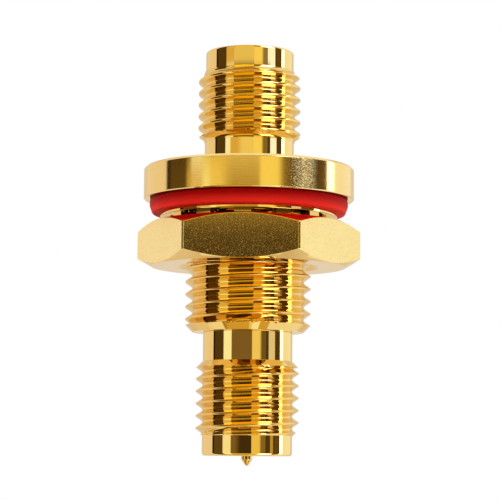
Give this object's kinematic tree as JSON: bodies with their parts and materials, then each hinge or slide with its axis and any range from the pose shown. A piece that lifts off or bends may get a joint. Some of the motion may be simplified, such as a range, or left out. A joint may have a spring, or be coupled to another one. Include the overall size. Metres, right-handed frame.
{
  "type": "sma connector",
  "caption": "Threaded coaxial bulkhead adapter: a jack at each end, a flange, seal ring, lock washer and panel nut, with a socket contact above and a pin contact below.",
  "frame": {"origin": "centre of the flange's underside, the face that seals on the panel", "axes": "+Z along the axis towards the jack with the socket contact; X and Y square to it, with nut flats facing +Y and -Y"},
  "size_m": [0.0134, 0.0128, 0.025],
  "materials": {
    "gold_plate": "polished gold plating on brass",
    "ptfe": "waxy white",
    "red_silicone": "matte red silicone"
  },
  "bodies": {
    "adapter": {"main_shell": "gold_plate", "rear_shell": "gold_plate", "front_insulator": "ptfe", "rear_insulator": "ptfe", "socket_contact": "gold_plate", "pin_contact": "gold_plate", "seal_ring": "red_silicone"},
    "washer": {"lock_washer": "gold_plate"},
    "nut": {"hex_nut": "gold_plate"}
  },
  "joints": [
    {"name": "washer_slide", "type": "slide", "parent": "adapter", "child": "washer", "axis": [0, 0, -1], "range_m": [0, 0.006]},
    {"name": "nut_spin", "type": "hinge", "parent": "washer", "child": "nut", "pos_m": [0, 0, -0.00274], "axis": [0, 0, -1], "range_deg": [0, 2880]}
  ],
  "couplings": [
    {"joint": "nut_spin", "follows": "washer_slide", "rad_per_m": 8377.6}
  ]
}
